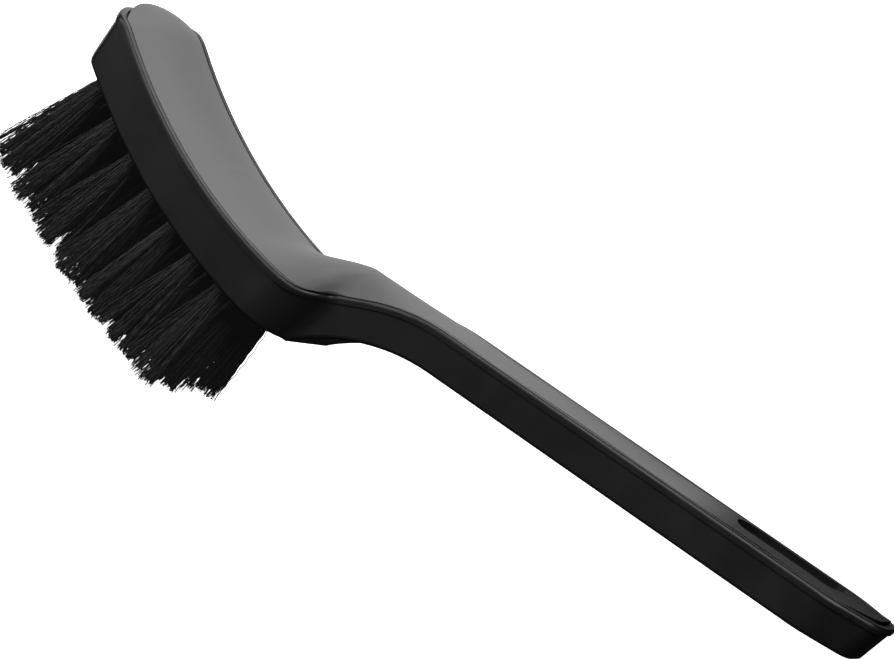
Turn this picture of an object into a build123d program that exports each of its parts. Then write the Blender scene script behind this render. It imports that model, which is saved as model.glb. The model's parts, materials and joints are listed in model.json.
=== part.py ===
from build123d import *
import math
import os

# Wheel brush: a curved head with stapled tufts and a raised, straight handle moulded in one
# piece, with a soft-touch skin let into its back. Millimetres, +Z up, bristles pointing down.
# X runs from the nose of the head to the end of the handle, and XZ is the plane of symmetry.
# The parts are exported with the origin under the middle of the brush, level with the lowest
# tuft tip.

# Plan outline, seen along the mould's draw direction
HEAD_WIDTH = 41.0
NOSE_X = -12.5
NOSE_RADIUS = 30.0
NOSE_CORNER_RADIUS = 3.0
NOSE_LEAN = 16.0
NOSE_END_X = 14.0
END_START_X = 225.0
END_LEAN = 2.0
SHOULDER_X = 92.0
SHOULDER_RADIUS = 12.0
CREASE_RADIUS = 2.5
NECK_WIDTH = 24.0
NECK_FLARE_X = 112.0
NECK_FLARE_RADIUS = 80.0
HANDLE_WIDTH = 21.4
HANDLE_END_X = 246.0
END_TAPER_X = 233.0
END_TAPER_RADIUS = 18.0
END_TIP_WIDTH = 11.0
END_TIP_RADIUS = 5.0
HANDLE_END_Z = 78.0

# Side profile of the rim, from the nose to the handle
NOSE_ROLL_RADIUS = 14.0
NOSE_ROLL_ANGLE = 42.0
NOSE_FALL_LENGTH = 14.0
HEAD_RIM_SLOPE = -15.0
HEAD_RIM_RADIUS = 157.0
HEAD_RIM_ANGLE = 30.5
NECK_FOOT_RADIUS = 13.0
NECK_SLOPE = 44.0
NECK_RISE_LENGTH = 13.6
NECK_TOP_RADIUS = 63.0
HANDLE_SLOPE = 22.3
HANDLE_RUN = 180.0

# Side profile of the underside
FACE_FRONT_Z = -14.4
FACE_REAR_Z = -12.5
FACE_SAG = 6.0
FACE_FRONT_RUN = 30.0
NECK_UNDER_SLOPE = 62.0
NECK_UNDER_RADIUS = 62.0
UNDER_EDGE_RADIUS = 1.0

# Rim bead, groove and skin
LIP_HEIGHT = 2.2
LIP_STEP = 0.4
LIP_RADIUS = 1.0
RIM_WIDTH = 2.0
GROOVE_WIDTH = 0.5
SKIN_THICKNESS = 1.6
HEAD_CROWN_RISE = 2.6
HANDLE_CROWN_RISE = 1.2
CROWN_DEPTH = 8.0
CROWN_OVERLAP = 0.6
SEAT_EDGE_DROP = 0.4
HUMP_START_X = 65.0
HUMP_END_X = 90.0
STATION_PITCH = 4.0
STATIONS_TO_X = 124.0
HANDLE_STATION_PITCH = 25.0
CROWN_END_X = 250.0

# Hang slot
SLOT_X = 216.0
SLOT_LENGTH = 31.0
SLOT_WIDTH = 9.0

# Tufts and their flat-wire anchors
TUFT_ROW_PITCH = 7.5
TUFT_ROWS = 5
TUFTS_PER_OUTER_ROW = 7
TUFT_FRONT_X = 5.5
TUFT_REAR_X = 71.5
TUFT_STAGGER_REACH = 3.0
TUFT_FRONT_LEAN = -2.5
TUFT_REAR_LEAN = 6.0
TUFT_ROW_TILT = 2.5
TRIM_FRONT_X = -12.0
TRIM_FRONT_Z = -50.1
TRIM_REAR_X = 104.0
TRIM_REAR_Z = -43.8
TRIM_SAG = 6.8
TRIM_REACH = 60.0
HOLE_RADIUS = 2.5
HOLE_DEPTH = 8.0
TUFT_CLEARANCE = 0.1
TUFT_TIP_RADIUS = 4.3
TUFT_TIP_ROUND = 1.2
HOLE_MOUTH_RELIEF = 4.0
ANCHOR_WIDTH = 5.6
ANCHOR_HEIGHT = 1.8
ANCHOR_THICKNESS = 0.45
ANCHOR_LIFT = 1.4

# Working block around the whole brush
BLOCK_BOTTOM = -60.0
BLOCK_TOP = 120.0
BLOCK_SIZE = 600.0
ON_LINE = 0.01


def heading(degrees):
    """Unit direction at an angle in the side view."""
    return (math.cos(math.radians(degrees)), math.sin(math.radians(degrees)))


def step(start, degrees, length):
    """Point at a distance from a start point, at an angle in the side view."""
    return (start.X + length * heading(degrees)[0], start.Y + length * heading(degrees)[1])


def plan_outline():
    """Closed plan shape of the head, neck and handle."""
    arc_centre_x = NOSE_X + NOSE_RADIUS
    head_length = SHOULDER_X - NOSE_X
    head_box = Pos(NOSE_X + head_length / 2, 0) * Rectangle(head_length, HEAD_WIDTH)
    behind_nose = Pos(arc_centre_x + BLOCK_SIZE / 2, 0) * Rectangle(BLOCK_SIZE, BLOCK_SIZE)
    head = head_box & (Pos(arc_centre_x, 0) * Circle(NOSE_RADIUS) + behind_nose)
    front = head.vertices().filter_by(lambda v: abs(v.X - NOSE_X) < NOSE_RADIUS / 2)
    head = fillet(front, NOSE_CORNER_RADIUS)
    rear = head.vertices().filter_by(lambda v: v.X > SHOULDER_X - ON_LINE)
    head = fillet(rear, SHOULDER_RADIUS)
    handle = Polygon((0, HANDLE_WIDTH / 2), (0, -HANDLE_WIDTH / 2),
                     (END_TAPER_X, -HANDLE_WIDTH / 2), (HANDLE_END_X, -END_TIP_WIDTH / 2),
                     (HANDLE_END_X, END_TIP_WIDTH / 2), (END_TAPER_X, HANDLE_WIDTH / 2), align=None)
    tip = handle.vertices().filter_by(lambda v: v.X > HANDLE_END_X - ON_LINE)
    handle = fillet(tip, END_TIP_RADIUS)
    taper = handle.vertices().filter_by(lambda v: abs(v.X - END_TAPER_X) < ON_LINE)
    handle = fillet(taper, END_TAPER_RADIUS)
    flare_front_x = SHOULDER_X - SHOULDER_RADIUS
    neck = Polygon((flare_front_x, NECK_WIDTH / 2), (flare_front_x, -NECK_WIDTH / 2),
                   (NECK_FLARE_X, -HANDLE_WIDTH / 2), (NECK_FLARE_X, HANDLE_WIDTH / 2), align=None)
    outline = head + neck + handle
    flare_ends = outline.vertices().filter_by(lambda v: abs(v.X - NECK_FLARE_X) < ON_LINE)
    outline = fillet(flare_ends, NECK_FLARE_RADIUS)
    creases = outline.vertices().filter_by(
        lambda v: abs(v.X - SHOULDER_X) < 1 and abs(v.Y) < NECK_WIDTH / 2)
    return fillet(creases, CREASE_RADIUS)


def leaning_prism(outline, degrees, level):
    """Prism that leans forward as it rises and has the outline's own place at a level."""
    tan_lean = math.tan(math.radians(degrees))
    height = BLOCK_TOP - BLOCK_BOTTOM
    base = Pos((level - BLOCK_BOTTOM) * tan_lean, 0, BLOCK_BOTTOM) * outline
    return extrude(base, height * math.hypot(1, tan_lean), dir=(-tan_lean, 0, 1))


def draw_prism(outline):
    """Prism of a plan outline: leaning nose, upright sides and nearly upright handle end."""
    block = Box(BLOCK_SIZE, BLOCK_SIZE, BLOCK_SIZE)
    nose_zone = Pos(NOSE_END_X - BLOCK_SIZE / 2, 0, 0) * block
    end_zone = Pos(END_START_X + BLOCK_SIZE / 2, 0, 0) * block
    nose = leaning_prism(outline, NOSE_LEAN, 0) & nose_zone
    end = leaning_prism(outline, END_LEAN, HANDLE_END_Z) & end_zone
    return leaning_prism(outline, 0, 0) - nose_zone - end_zone + nose + end


def front_path(drop, head_angle):
    """Side profile of the nose and an arc of the head, or a parallel curve below it."""
    start = step(Vector(0, 0), HEAD_RIM_SLOPE - 90, drop)
    roll = JernArc(start, heading(HEAD_RIM_SLOPE + 180), NOSE_ROLL_RADIUS - drop, NOSE_ROLL_ANGLE)
    fall_heading = HEAD_RIM_SLOPE + 180 + NOSE_ROLL_ANGLE
    fall = Line(roll @ 1, step(roll @ 1, fall_heading, NOSE_FALL_LENGTH))
    head = JernArc(start, heading(HEAD_RIM_SLOPE), HEAD_RIM_RADIUS + drop, head_angle)
    return [fall, roll, head]


def rim_path(drop=0.0):
    """Side profile of the rim, or a parallel curve below it, from front to rear."""
    front = front_path(drop, HEAD_RIM_ANGLE)
    head = front[-1]
    foot_slope = HEAD_RIM_SLOPE + HEAD_RIM_ANGLE
    foot = JernArc(head @ 1, heading(foot_slope), NECK_FOOT_RADIUS + drop, NECK_SLOPE - foot_slope)
    rise = Line(foot @ 1, step(foot @ 1, NECK_SLOPE, NECK_RISE_LENGTH))
    top = JernArc(rise @ 1, heading(NECK_SLOPE), NECK_TOP_RADIUS - drop, HANDLE_SLOPE - NECK_SLOPE)
    handle = Line(top @ 1, step(top @ 1, HANDLE_SLOPE, HANDLE_RUN))
    return Wire(front + [foot, rise, top, handle])


def bristle_face():
    """Side profile of the convex face that holds the tufts, from front to rear."""
    return SagittaArc((0, FACE_FRONT_Z), (SHOULDER_X, FACE_REAR_Z), -FACE_SAG)


def under_path():
    """Side profile of the bristle face and the underside of the neck and handle."""
    face = bristle_face()
    front = Line(face @ 0, (face @ 0) - (face % 0) * FACE_FRONT_RUN)
    neck_turn = HANDLE_SLOPE - NECK_UNDER_SLOPE
    neck = JernArc(face @ 1, heading(NECK_UNDER_SLOPE), NECK_UNDER_RADIUS, neck_turn)
    handle = Line(neck @ 1, step(neck @ 1, HANDLE_SLOPE, HANDLE_RUN))
    return Wire([front, face, neck, handle])


def slab_from(path, level):
    """Solid between a side-view path and a level, through the whole width."""
    ends = sorted([path @ 0, path @ 1], key=lambda p: p.X)
    closing = Polyline(ends[0], (ends[0].X, level), (ends[1].X, level), ends[1])
    profile = make_face(path.edges() + closing.edges())
    return extrude(Plane.XZ * profile, BLOCK_SIZE / 2, both=True)


def edges_along(part, path):
    """Edges of a part that run along a side-view path, leaving out the ones across it."""
    side_path = Plane.XZ * path
    found = ShapeList()
    for edge in part.edges():
        middle = edge @ 0.5
        across = edge.geom_type == GeomType.LINE and abs((edge % 0.5).Y) > 1 - ON_LINE
        if not across and side_path.distance_to(Vertex(middle.X, 0, middle.Z)) < ON_LINE:
            found.append(edge)
    return found


def height_on(path, x):
    """Height of a side-view path at a distance along the brush."""
    return path.intersect(Line((x, BLOCK_BOTTOM), (x, BLOCK_TOP)))[0].Y


def ease(low, high, x):
    """Share that rises smoothly from 0 at low to 1 at high."""
    share = min(max((x - low) / (high - low), 0), 1)
    return share * share * (3 - 2 * share)


def crown_section(top, edge, half):
    """Cross-section with a parabolic top that falls from a top level to an edge level."""
    reach = half + CROWN_OVERLAP
    fall = (top - edge) * (reach / half) ** 2
    arch = Bezier((-reach, top - fall), (0, top + fall), (reach, top - fall))
    bottom = edge - CROWN_DEPTH
    sides = Polyline(arch @ 0, (-reach, bottom), (reach, bottom), arch @ 1)
    return make_face(arch.edges() + sides.edges())


def front_crown(drop, edge_drop):
    """Crowned sheet over the nose and the front of the head."""
    path = Plane.XZ * Wire(front_path(drop - HEAD_CROWN_RISE, -HEAD_RIM_SLOPE))
    upright_x = (0, math.copysign(1, (path % 0).X), 0)
    section_plane = Plane(origin=path @ 0, x_dir=upright_x, z_dir=path % 0)
    half = HEAD_WIDTH / 2 - RIM_WIDTH - GROOVE_WIDTH
    section = crown_section(0, -HEAD_CROWN_RISE - edge_drop, half)
    return sweep(section_plane * section, path=path)


def centre_height(x):
    """Height of the back on the plane of symmetry: the head's, easing into the handle's."""
    head_arc = front_path(0, HEAD_RIM_ANGLE - HEAD_RIM_SLOPE)[-1]
    head = height_on(head_arc, min(x, HUMP_END_X)) + HEAD_CROWN_RISE
    rim = rim_path()
    rim_end = max(rim @ 0, rim @ 1, key=lambda point: point.X)
    handle = rim_end.Y + (x - rim_end.X) * math.tan(math.radians(HANDLE_SLOPE)) + HANDLE_CROWN_RISE
    return head + (handle - head) * ease(HUMP_START_X, HUMP_END_X, x)


def rear_crown(drop, edge_drop):
    """Crowned sheet over the rear of the head, the hump of the neck and the handle."""
    rim = rim_path()
    outline = offset(plan_outline(), -(RIM_WIDTH + GROOVE_WIDTH))
    first = -HEAD_RIM_RADIUS * math.sin(math.radians(HEAD_RIM_SLOPE))
    close_count = round((STATIONS_TO_X - first) / STATION_PITCH)
    stations = [first + STATION_PITCH * i for i in range(close_count)]
    while stations[-1] < CROWN_END_X:
        stations.append(stations[-1] + HANDLE_STATION_PITCH)
    sections = []
    for x in stations:
        width_x = min(x, END_START_X)
        across = Line((width_x, -BLOCK_SIZE / 2), (width_x, BLOCK_SIZE / 2))
        half = (outline & across).edges()[0].length / 2
        edge = height_on(rim, x) - drop - edge_drop
        section = crown_section(centre_height(x) - drop, edge, half)
        sections.append(Plane((x, 0, 0), x_dir=(0, 1, 0), z_dir=(1, 0, 0)) * section)
    return loft(sections)


def crown(drop=0.0, edge_drop=0.0):
    """Sheet whose top is the crowned back, or lies a distance below it and more at the edges."""
    return front_crown(drop, edge_drop) + rear_crown(drop, edge_drop)


def slot_cutter():
    """Upright bar with round ends that leaves the hang slot."""
    base = Pos(SLOT_X, 0, BLOCK_BOTTOM) * SlotOverall(SLOT_LENGTH, SLOT_WIDTH)
    return extrude(base, BLOCK_TOP - BLOCK_BOTTOM)


def moulding():
    """Rigid head, neck and handle: walls, rim lip, crowned seat of the skin and hang slot."""
    outline = plan_outline()
    rim = rim_path()
    under = under_path()
    above_under = slab_from(under, BLOCK_TOP)
    core = draw_prism(offset(outline, -LIP_STEP)) & slab_from(rim, BLOCK_BOTTOM) & above_under
    core = fillet(edges_along(core, under), UNDER_EDGE_RADIUS)
    lip = draw_prism(outline) & slab_from(rim, BLOCK_BOTTOM) & above_under
    lip = lip - slab_from(rim_path(LIP_HEIGHT), BLOCK_BOTTOM)
    lip = fillet(edges_along(lip, rim), LIP_RADIUS)
    recess = draw_prism(offset(outline, -RIM_WIDTH)) & slab_from(rim_path(SKIN_THICKNESS), BLOCK_TOP)
    seat_top = crown(SKIN_THICKNESS, SEAT_EDGE_DROP)
    seat = draw_prism(offset(outline, -(RIM_WIDTH + GROOVE_WIDTH))) & seat_top
    return (core + lip) - recess + seat - slot_cutter()


def skin():
    """Soft-touch skin of even thickness over its seat, a groove's width inside the rim."""
    blank = draw_prism(offset(plan_outline(), -(RIM_WIDTH + GROOVE_WIDTH))) & crown()
    blank = blank & slab_from(rim_path(SKIN_THICKNESS), BLOCK_TOP)
    return blank - crown(SKIN_THICKNESS, SEAT_EDGE_DROP) - slot_cutter()


def trim_profile():
    """Side profile that the tuft tips are trimmed to."""
    return SagittaArc((TRIM_FRONT_X, TRIM_FRONT_Z), (TRIM_REAR_X, TRIM_REAR_Z), -TRIM_SAG)


def tuft_places():
    """Plane at each tuft's root, with z along the tuft, and the tuft's free length, by name."""
    face = bristle_face()
    trim = trim_profile()
    places = {}
    for row in range(TUFT_ROWS):
        stagger = row % 2
        rows_from_middle = row - (TUFT_ROWS - 1) / 2
        tilt = math.radians(rows_from_middle * TUFT_ROW_TILT)
        front_x = TUFT_FRONT_X - stagger * TUFT_STAGGER_REACH
        rear_x = TUFT_REAR_X + stagger * TUFT_STAGGER_REACH
        last = TUFTS_PER_OUTER_ROW + stagger - 1
        for column in range(last + 1):
            x = front_x + (rear_x - front_x) * column / last
            lean = TUFT_FRONT_LEAN + (TUFT_REAR_LEAN - TUFT_FRONT_LEAN) * column / last
            root = Vector(x, height_on(face, x))
            run = Line(root, step(root, lean - 90, TRIM_REACH))
            tip = trim.intersect(run)[0]
            length = math.hypot(tip.X - root.X, tip.Y - root.Y) / math.cos(tilt)
            down_x, down_z = heading(lean - 90)
            direction = Vector(down_x, 0, down_z) * math.cos(tilt) + Vector(0, 1, 0) * math.sin(tilt)
            origin = (root.X, rows_from_middle * TUFT_ROW_PITCH, root.Y)
            plane = Plane(origin, x_dir=(-down_z, 0, down_x), z_dir=direction)
            places[f"tuft_r{row + 1}_c{column + 1}"] = (plane, length)
    return places


def hole_cutter():
    """Blind round hole for one tuft, with its mouth at the origin."""
    return Pos(0, 0, -HOLE_DEPTH) * extrude(Circle(HOLE_RADIUS), HOLE_DEPTH + HOLE_MOUTH_RELIEF)


def anchor():
    """Flat-wire anchor driven across the bottom of a tuft hole."""
    middle = ANCHOR_LIFT + ANCHOR_HEIGHT / 2 - HOLE_DEPTH
    return Pos(0, 0, middle) * Box(ANCHOR_THICKNESS, ANCHOR_WIDTH, ANCHOR_HEIGHT)


def tuft(length):
    """One folded tuft: a plug in its hole that flares to a rounded tip, notched by its anchor."""
    root_radius = HOLE_RADIUS - TUFT_CLEARANCE
    plug = Pos(0, 0, -HOLE_DEPTH) * extrude(Circle(root_radius), HOLE_DEPTH)
    brush = Pos(0, 0, length / 2) * Cone(root_radius, TUFT_TIP_RADIUS, length)
    tip = brush.edges().sort_by(Axis.Z)[-1]
    return plug + fillet(tip, TUFT_TIP_ROUND) - anchor()


def build_nodes():
    """Every node of the brush by name."""
    places = tuft_places()
    locations = [plane.location for plane, _ in places.values()]
    anchors = Compound([location * anchor() for location in locations])
    holes = [location * hole_cutter() for location in locations]
    nodes = {
        "body_moulding": moulding() - holes - anchors,
        "grip_skin": skin(),
        "tuft_anchors": anchors,
    }
    for name, (plane, length) in places.items():
        nodes[name] = plane.location * tuft(length)
    return nodes


def main():
    nodes = build_nodes()
    bounds = Compound(list(nodes.values())).bounding_box()
    to_origin = Pos(-bounds.center().X, 0, -bounds.min.Z)
    os.makedirs("parts", exist_ok=True)
    for name, node in nodes.items():
        export_step(to_origin * node, f"parts/{name}.step")


main()
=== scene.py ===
import json
import math

import bpy
import numpy as np
from mathutils import Matrix, Vector

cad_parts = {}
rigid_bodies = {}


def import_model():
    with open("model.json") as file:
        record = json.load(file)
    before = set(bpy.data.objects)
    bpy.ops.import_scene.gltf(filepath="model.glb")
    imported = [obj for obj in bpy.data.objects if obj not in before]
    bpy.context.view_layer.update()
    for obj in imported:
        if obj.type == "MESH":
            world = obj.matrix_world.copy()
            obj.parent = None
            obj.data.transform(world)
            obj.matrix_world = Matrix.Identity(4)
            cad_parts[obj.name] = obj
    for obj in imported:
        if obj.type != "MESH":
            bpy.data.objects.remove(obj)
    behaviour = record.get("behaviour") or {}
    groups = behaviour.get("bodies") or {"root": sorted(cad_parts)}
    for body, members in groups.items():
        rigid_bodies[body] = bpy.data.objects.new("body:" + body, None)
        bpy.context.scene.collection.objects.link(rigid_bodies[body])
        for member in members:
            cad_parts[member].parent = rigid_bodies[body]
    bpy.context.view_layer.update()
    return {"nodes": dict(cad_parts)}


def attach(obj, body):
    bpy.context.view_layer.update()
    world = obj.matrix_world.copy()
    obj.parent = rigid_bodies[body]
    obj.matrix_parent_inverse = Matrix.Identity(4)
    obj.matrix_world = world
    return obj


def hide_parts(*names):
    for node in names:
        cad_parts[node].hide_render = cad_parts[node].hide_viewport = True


# The looks of a wheel brush: finely textured black moulding, a satin soft-touch skin on its
# back, and tufts of crimped black filaments. Metres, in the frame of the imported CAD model.

MM = 0.001
WHITE = (1, 1, 1, 1)

# Camera: in front of the brush, rolled so that the handle runs down to the lower right
CAMERA_AZIMUTH = math.radians(19.68)
CAMERA_ELEVATION = math.radians(19.64)
CAMERA_ROLL = math.radians(-50.80)
CAMERA_DISTANCE = 1073.2 * MM
CAMERA_TARGET = Vector((-0.5 * MM, 0, 76.7 * MM))
CAMERA_LENS = 169.1
CAMERA_SENSOR = 36.0
CAMERA_SHIFT = (-0.0052, 0.0115)

# Soft lights: name, place, point aimed at, width and height, watts. They stand close to the
# head, so that the light falls off towards the end of the handle.
LIGHTS = (
    ("overhead", (-0.15, 0.05, 0.25), (-0.06, 0, 0.07), (0.22, 0.22), 0.46),
    ("back_wall", (-0.37, 0.36, 0.05), (-0.07, 0, 0.07), (0.42, 0.5), 0.7),
    ("back_top", (-0.25, 0.55, 0.80), (-0.07, 0, 0.07), (0.9, 0.6), 1.4),
    ("bead_light", (-0.15, -0.20, 0.30), (-0.03, 0, 0.08), (0.15, 0.15), 0.40),
    ("neck_fill", (0.07, -0.19, 0.29), (-0.03, 0, 0.08), (0.15, 0.15), 0.42),
    ("nose_fill", (-0.32, -0.27, 0.09), (-0.09, 0, 0.06), (0.16, 0.16), 0.46),
)
WORLD_STRENGTH = 0.018

# Floor
FLOOR_HALF = 8.0
FLOOR_TONES = ((0.86, 0.86, 0.86), (0.9, 0.9, 0.9))
FLOOR_CLOUDS = 300.0 * MM
FLOOR_ROUGHNESS = 0.9
FLOOR_GLOW = 1.0

# Noise: the part of its range that it mostly fills, and how strong its finer octaves are
NOISE_LOW = 0.3
NOISE_HIGH = 0.7
NOISE_ROUGHNESS = 0.55

# Plastics: tones are linear colours, clouds and grain are the sizes of the features
PLASTIC_IOR = 1.49
GRAIN_ROUGHNESS = (-0.03, 0.03)
MOULDING_TONES = ((0.008, 0.008, 0.0085), (0.012, 0.012, 0.0125))
MOULDING_CLOUDS = 18.0 * MM
MOULDING_GRAIN = 0.30 * MM
MOULDING_GRAIN_DEPTH = 0.02 * MM
MOULDING_GRAIN_STRENGTH = 0.35
MOULDING_ROUGHNESS = (0.40, 0.46)
SKIN_IOR = 1.5
SKIN_SPECULAR = 0.25
SKIN_TONES = ((0.0, 0.0, 0.0), (0.105, 0.105, 0.1055))
SKIN_CLOUDS = 22.0 * MM
SKIN_CLOUD_TONE = (0.85, 1)
SKIN_GRAIN = 0.18 * MM
SKIN_GRAIN_DEPTH = 0.012 * MM
SKIN_GRAIN_STRENGTH = 0.3
SKIN_ROUGHNESS = (0.47, 0.53)

# Painted shade on the skin where the light falls off towards the end of the handle: X where it
# begins and where it is complete
END_SHADE_FROM = 72 * MM
END_SHADE_TO = 86 * MM
END_SHADE_TONE = 0.03

# Wire of the anchors
WIRE_TONES = ((0.42, 0.42, 0.41), (0.62, 0.61, 0.58))
WIRE_CLOUDS = 0.8 * MM
WIRE_PITS = 0.1 * MM
WIRE_ROUGHNESS = (0.3, 0.45)

# Looks of the filaments
FILAMENT_TONES = ((0.004, 0.004, 0.004), (0.040, 0.040, 0.041))
FILAMENT_TONE_SKEW = 2  # most filaments are near the dark tone
FILAMENT_STREAKS = 1.5 * MM
FILAMENT_PITS = 0.12 * MM
FILAMENT_ROUGHNESS = (0.46, 0.60)
FILAMENT_PAINTED_GLOW = 0.0035  # painted light: a faint glow on every filament that lifts the dark gaps between them
PIT_DEPTH = 0.01 * MM
PIT_STRENGTH = 0.3

# Tufts
SEED = 20
HOLE_DEPTH = 8.0 * MM
BURIED_LENGTH = 5.0 * MM
FILAMENTS_PER_TUFT = 190
FILAMENT_RADIUS = 0.14 * MM
FILAMENT_SIDES = 3
FILAMENT_RINGS = 36
GOLDEN_ANGLE = math.pi * (3 - math.sqrt(5))
ROOT_SPREAD = 2.3 * MM
TIP_SPREAD_ALONG = 6.9 * MM
TIP_SPREAD_ACROSS = 4.6 * MM
TIP_JITTER = 0.35 * MM
TRIM_RAGGEDNESS = 0.55 * MM
TRIM_MARGIN = 0.8 * MM
CLUMPS_PER_TUFT = 9
CLUMP_PULL = 0.40
CLUMP_LENGTH_SPREAD = 0.9 * MM
STRAYS_PER_TUFT = 2
STRAY_REACH = 2.2 * MM
CRIMP_AMPLITUDE = 0.21 * MM
CRIMP_WAVELENGTH = 4.6 * MM
DRIFT_AMPLITUDE = 0.6 * MM
FLARE_POWER = 1.05


# ---------------------------------------------------------------- materials
class Nodes:
    """A small builder for one material's node tree."""

    def __init__(self, name):
        self.material = bpy.data.materials.new(name)
        self.material.use_nodes = True
        self.tree = self.material.node_tree
        self.shader = self.tree.nodes["Principled BSDF"]
        self.coords = self.tree.nodes.new("ShaderNodeTexCoord").outputs["Object"]

    def link(self, source, target):
        self.tree.links.new(source, target)

    def feed(self, socket, source):
        """Links a value that varies over the surface to the shader."""
        self.link(source, self.shader.inputs[socket])

    def fix(self, socket, value):
        """Sets a value that is the same all over the surface."""
        self.shader.inputs[socket].default_value = value

    def noise(self, size, detail=3.0):
        """Noise whose features are about the given size across."""
        node = self.tree.nodes.new("ShaderNodeTexNoise")
        node.inputs["Scale"].default_value = 1.0 / size
        node.inputs["Detail"].default_value = detail
        node.inputs["Roughness"].default_value = NOISE_ROUGHNESS
        self.link(self.coords, node.inputs["Vector"])
        return node.outputs["Fac"]

    def along_x(self):
        """Distance along the brush from the middle of its length."""
        node = self.tree.nodes.new("ShaderNodeSeparateXYZ")
        self.link(self.coords, node.inputs["Vector"])
        return node.outputs["X"]

    def remap(self, value, low_in, high_in, low_out, high_out):
        """Stretches one range of values to another, and holds it at the ends."""
        node = self.tree.nodes.new("ShaderNodeMapRange")
        node.inputs["From Min"].default_value = low_in
        node.inputs["From Max"].default_value = high_in
        node.inputs["To Min"].default_value = low_out
        node.inputs["To Max"].default_value = high_out
        self.link(value, node.inputs["Value"])
        return node.outputs["Result"]

    def spread(self, noise, low_high):
        """Stretches noise to run from a low to a high value."""
        return self.remap(noise, NOISE_LOW, NOISE_HIGH, *low_high)

    def combine(self, operation, first, second):
        """One arithmetic step on two varying values."""
        node = self.tree.nodes.new("ShaderNodeMath")
        node.operation = operation
        self.link(first, node.inputs[0])
        self.link(second, node.inputs[1])
        return node.outputs["Value"]

    def ramp(self, value, tones):
        """Colour between a dark and a light tone."""
        node = self.tree.nodes.new("ShaderNodeValToRGB")
        for element, tone in zip(node.color_ramp.elements, tones):
            element.color = (*tone, 1)
        self.link(value, node.inputs["Fac"])
        return node.outputs["Color"]

    def bump(self, height, depth, strength):
        node = self.tree.nodes.new("ShaderNodeBump")
        node.inputs["Distance"].default_value = depth
        node.inputs["Strength"].default_value = strength
        self.link(height, node.inputs["Height"])
        self.feed("Normal", node.outputs["Normal"])

    def satin(self, clouds, grain, roughness):
        """Roughness that follows the clouds, and a little the grain."""
        cloudy = self.spread(clouds, roughness)
        self.feed("Roughness", self.combine("ADD", cloudy, self.spread(grain, GRAIN_ROUGHNESS)))


def moulding_material():
    """Black polypropylene with a fine spark-eroded texture."""
    n = Nodes("satin_black_moulding")
    clouds = n.noise(MOULDING_CLOUDS, detail=2.0)
    grain = n.noise(MOULDING_GRAIN, detail=2.0)
    n.feed("Base Color", n.ramp(n.spread(clouds, (0, 1)), MOULDING_TONES))
    n.satin(clouds, grain, MOULDING_ROUGHNESS)
    n.bump(grain, MOULDING_GRAIN_DEPTH, MOULDING_GRAIN_STRENGTH)
    n.fix("IOR", PLASTIC_IOR)
    return n.material


def skin_material():
    """Dark satin soft-touch elastomer, with painted shade that darkens it from the hang slot to
    the end.
    """
    n = Nodes("soft_touch_skin")
    clouds = n.noise(SKIN_CLOUDS, detail=2.0)
    grain = n.noise(SKIN_GRAIN, detail=2.0)
    # Painted shade: the colour darkens towards the end of the handle, where the light falls off
    painted_end_shade = n.remap(n.along_x(), END_SHADE_FROM, END_SHADE_TO, 1, END_SHADE_TONE)
    tone = n.combine("MULTIPLY", n.spread(clouds, SKIN_CLOUD_TONE), painted_end_shade)
    n.feed("Base Color", n.ramp(tone, SKIN_TONES))
    n.satin(clouds, grain, SKIN_ROUGHNESS)
    n.bump(grain, SKIN_GRAIN_DEPTH, SKIN_GRAIN_STRENGTH)
    n.fix("IOR", SKIN_IOR)
    n.fix("Specular IOR Level", SKIN_SPECULAR)
    return n.material


def bristle_material():
    """Black filament whose tone differs a little from one to the next."""
    n = Nodes("black_filament")
    tone = n.tree.nodes.new("ShaderNodeAttribute")
    tone.attribute_name = "tone"
    n.feed("Base Color", n.ramp(tone.outputs["Fac"], FILAMENT_TONES))
    n.feed("Roughness", n.spread(n.noise(FILAMENT_STREAKS, detail=2.0), FILAMENT_ROUGHNESS))
    n.bump(n.noise(FILAMENT_PITS, detail=1.0), PIT_DEPTH, PIT_STRENGTH)
    n.fix("IOR", PLASTIC_IOR)
    # Painted light: every filament glows faintly, which lifts the dark gaps in the tufts
    n.fix("Emission Color", WHITE)
    n.fix("Emission Strength", FILAMENT_PAINTED_GLOW)
    return n.material


def wire_material():
    """Galvanised flat wire, clouded and finely pitted."""
    n = Nodes("galvanised_wire")
    clouds = n.noise(WIRE_CLOUDS)
    n.feed("Base Color", n.ramp(clouds, WIRE_TONES))
    n.feed("Roughness", n.spread(clouds, WIRE_ROUGHNESS))
    n.bump(n.noise(WIRE_PITS), PIT_DEPTH, PIT_STRENGTH)
    n.fix("Metallic", 1.0)
    return n.material


def floor_material():
    """Plain pale floor, bright enough to look white."""
    n = Nodes("pale_floor")
    n.feed("Base Color", n.ramp(n.noise(FLOOR_CLOUDS), FLOOR_TONES))
    n.fix("Roughness", FLOOR_ROUGHNESS)
    n.fix("Emission Color", WHITE)
    n.fix("Emission Strength", FLOOR_GLOW)
    return n.material


def dress(obj, material):
    """Gives an object one material, on the object so that its mesh stays as it is."""
    if not obj.material_slots:
        obj.data.materials.append(None)
    for material_slot in obj.material_slots:
        material_slot.link = "OBJECT"
        material_slot.material = material


# ---------------------------------------------------------------- bristles
def tuft_axis(node):
    """Root point on the bristle face, unit direction and free length of a CAD tuft."""
    points = np.array([v.co for v in node.data.vertices])
    centre = (points.min(0) + points.max(0)) / 2
    direction = np.linalg.svd(points - points.mean(0), full_matrices=False)[2][0]
    if direction[2] > 0:
        direction = -direction
    along = (points - centre) @ direction
    across = (points - centre) - np.outer(along, direction)
    centre = centre + (across.min(0) + across.max(0)) / 2
    root = centre + direction * (along.min() + HOLE_DEPTH)
    return root, direction, along.max() - along.min() - HOLE_DEPTH


def compass(angle):
    """Unit vectors in the plane at the given angles."""
    return np.stack([np.cos(angle), np.sin(angle)], axis=1)


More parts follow.
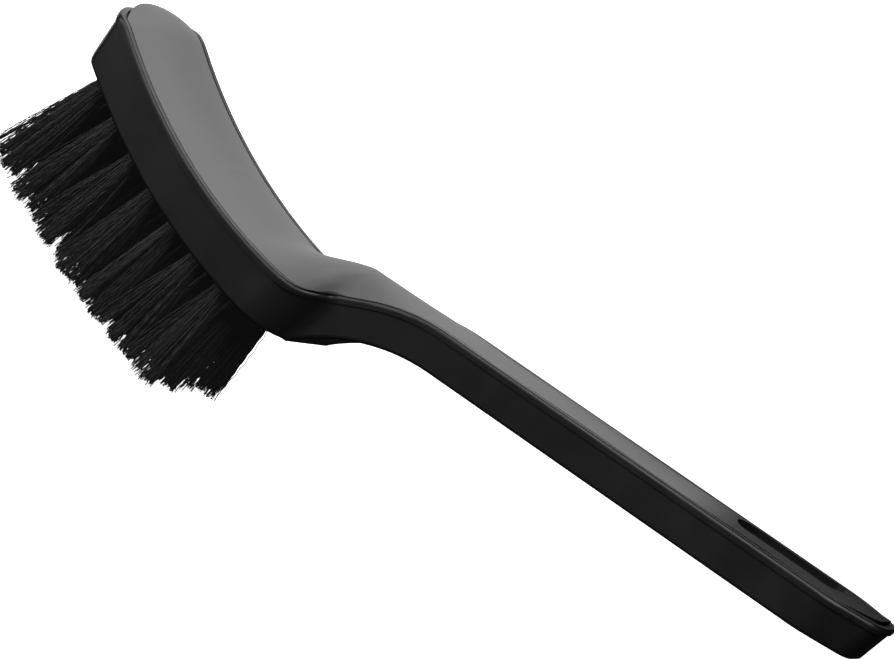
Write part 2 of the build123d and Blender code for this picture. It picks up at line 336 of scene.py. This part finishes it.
def filament_lines(rng, free_length):
    """Centre lines of one tuft's filaments, (filament, ring, xyz), with z along the tuft."""
    count = FILAMENTS_PER_TUFT

    # Roots evenly in a round hole, and tips drawn together into clumps, with a few strays
    radius = np.sqrt((np.arange(count) + 0.5) / count)
    angle = np.arange(count) * GOLDEN_ANGLE + rng.uniform(0, 2 * math.pi)
    spoke = compass(angle) * radius[:, None]
    root = spoke * ROOT_SPREAD
    clump_seed = spoke[rng.choice(count, CLUMPS_PER_TUFT, replace=False)]
    clump = np.linalg.norm(spoke[:, None, :] - clump_seed[None, :, :], axis=2).argmin(axis=1)
    gathered = spoke + (clump_seed[clump] - spoke) * CLUMP_PULL
    tip = gathered * (TIP_SPREAD_ALONG, TIP_SPREAD_ACROSS)
    tip = tip + rng.normal(0, TIP_JITTER, (count, 2))
    tip[-STRAYS_PER_TUFT:] += rng.normal(0, STRAY_REACH, (STRAYS_PER_TUFT, 2))

    # Lengths, trimmed a little unevenly
    clump_trim = rng.uniform(0, 1, CLUMPS_PER_TUFT) * CLUMP_LENGTH_SPREAD
    ragged_trim = np.abs(rng.normal(0, TRIM_RAGGEDNESS, count))
    length = free_length - TRIM_MARGIN - clump_trim[clump] - ragged_trim
    along = np.linspace(0, 1, FILAMENT_RINGS)[None, :] * (length + BURIED_LENGTH)[:, None]
    height = along - BURIED_LENGTH
    free = np.clip(height / length[:, None], 0, 1)

    # Sideways: the flare from root to tip, then the crimp, then a slow drift
    side = root[:, None, :] + (tip - root)[:, None, :] * (free ** FLARE_POWER)[..., None]
    crimp_axis = compass(rng.uniform(0, 2 * math.pi, count))
    phase = rng.uniform(0, 2 * math.pi, count)
    wave = np.sin(2 * math.pi * along / CRIMP_WAVELENGTH + phase[:, None])
    side = side + crimp_axis[:, None, :] * (wave * CRIMP_AMPLITUDE * np.sqrt(free))[..., None]
    drift = rng.normal(0, DRIFT_AMPLITUDE, (count, 2))
    side = side + drift[:, None, :] * (np.sin(math.pi * free) * free)[..., None]
    return np.concatenate([side, height[..., None]], axis=2)


def frame_of(direction):
    """Matrix whose columns are two sideways axes and the tuft's direction."""
    sideways = np.cross((0, 1, 0), direction)
    sideways /= np.linalg.norm(sideways)
    return np.stack([sideways, np.cross(direction, sideways), direction], axis=1)


def tube_mesh(name, lines, tones):
    """One mesh of thin closed tubes round many centre lines, with a tone for each tube."""
    count, rings = lines.shape[:2]
    turn = np.arange(FILAMENT_SIDES) * 2 * math.pi / FILAMENT_SIDES
    circle = np.concatenate([compass(turn), np.zeros((FILAMENT_SIDES, 1))], axis=1)
    points = lines[:, :, None, :] + circle * FILAMENT_RADIUS
    ids = np.arange(count * rings * FILAMENT_SIDES).reshape(count, rings, FILAMENT_SIDES)
    here, there = ids[:, :-1], ids[:, 1:]
    corners = (here, np.roll(here, -1, 2), np.roll(there, -1, 2), there)
    quads = np.stack(corners, axis=-1).reshape(-1, 4)
    caps = [tuple(c) for c in ids[:, -1]] + [tuple(c[::-1]) for c in ids[:, 0]]
    mesh = bpy.data.meshes.new(name)
    mesh.from_pydata(points.reshape(-1, 3).tolist(), [], quads.tolist() + caps)
    mesh.polygons.foreach_set("use_smooth", [True] * len(mesh.polygons))
    tone = mesh.attributes.new("tone", "FLOAT", "POINT")
    tone.data.foreach_set("value", np.repeat(tones, rings * FILAMENT_SIDES).astype(np.float32))
    return mesh


def add_bristles(nodes, material):
    """Replaces every plain CAD tuft with a bundle of crimped filaments."""
    for index, name in enumerate(sorted(n for n in nodes if n.startswith("tuft_r"))):
        rng = np.random.default_rng(SEED + index)
        root, direction, free_length = tuft_axis(nodes[name])
        lines = filament_lines(rng, free_length) @ frame_of(direction).T + root
        tones = rng.uniform(0, 1, len(lines)) ** FILAMENT_TONE_SKEW
        mesh = tube_mesh(name.replace("tuft", "bristles"), lines, tones)
        mesh.materials.append(material)
        bristles = bpy.data.objects.new(mesh.name, mesh)
        bpy.context.scene.collection.objects.link(bristles)
        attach(bristles, "root")
        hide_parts(name)


# ---------------------------------------------------------------- stage
def add_floor():
    """A pale floor that shows to the camera, and sends no light back to the brush."""
    half = FLOOR_HALF
    corners = [(-half, -half, 0), (half, -half, 0), (half, half, 0), (-half, half, 0)]
    mesh = bpy.data.meshes.new("floor")
    mesh.from_pydata(corners, [], [(0, 1, 2, 3)])
    floor = bpy.data.objects.new("floor", mesh)
    bpy.context.scene.collection.objects.link(floor)
    dress(floor, floor_material())
    floor.visible_glossy = False
    floor.visible_diffuse = False
    floor.visible_shadow = False


def add_softbox(name, position, target, size, power):
    """Rectangular soft light aimed at a point."""
    data = bpy.data.lights.new(name, "AREA")
    data.shape = "RECTANGLE"
    data.size, data.size_y = size
    data.energy = power
    light = bpy.data.objects.new(name, data)
    light.location = position
    light.visible_camera = False
    light.rotation_mode = "QUATERNION"
    light.rotation_quaternion = (Vector(target) - Vector(position)).to_track_quat("-Z", "Y")
    bpy.context.scene.collection.objects.link(light)


def add_lights():
    world = bpy.data.worlds.new("studio")
    world.use_nodes = True
    background = world.node_tree.nodes["Background"]
    background.inputs["Color"].default_value = WHITE
    background.inputs["Strength"].default_value = WORLD_STRENGTH
    bpy.context.scene.world = world
    for softbox in LIGHTS:
        add_softbox(*softbox)


def add_camera():
    back = Vector((math.sin(CAMERA_AZIMUTH) * math.cos(CAMERA_ELEVATION),
                   -math.cos(CAMERA_AZIMUTH) * math.cos(CAMERA_ELEVATION),
                   math.sin(CAMERA_ELEVATION)))
    right = (-back).cross(Vector((0, 0, 1))).normalized()
    up = right.cross(-back)
    x_axis = right * math.cos(CAMERA_ROLL) - up * math.sin(CAMERA_ROLL)
    y_axis = right * math.sin(CAMERA_ROLL) + up * math.cos(CAMERA_ROLL)
    data = bpy.data.cameras.new("camera")
    data.lens = CAMERA_LENS
    data.sensor_width = CAMERA_SENSOR
    data.shift_x, data.shift_y = CAMERA_SHIFT
    camera = bpy.data.objects.new("camera", data)
    rotation = Matrix((x_axis, y_axis, back)).transposed().to_4x4()
    camera.matrix_world = Matrix.Translation(CAMERA_TARGET + back * CAMERA_DISTANCE) @ rotation
    bpy.context.scene.collection.objects.link(camera)
    bpy.context.scene.camera = camera


def main():
    for leftover in list(bpy.data.objects):
        bpy.data.objects.remove(leftover)
    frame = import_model()
    nodes = frame["nodes"]
    dress(nodes["body_moulding"], moulding_material())
    dress(nodes["grip_skin"], skin_material())
    dress(nodes["tuft_anchors"], wire_material())
    add_bristles(nodes, bristle_material())
    add_floor()
    add_lights()
    add_camera()
    bpy.context.scene.view_settings.view_transform = "Standard"


main()
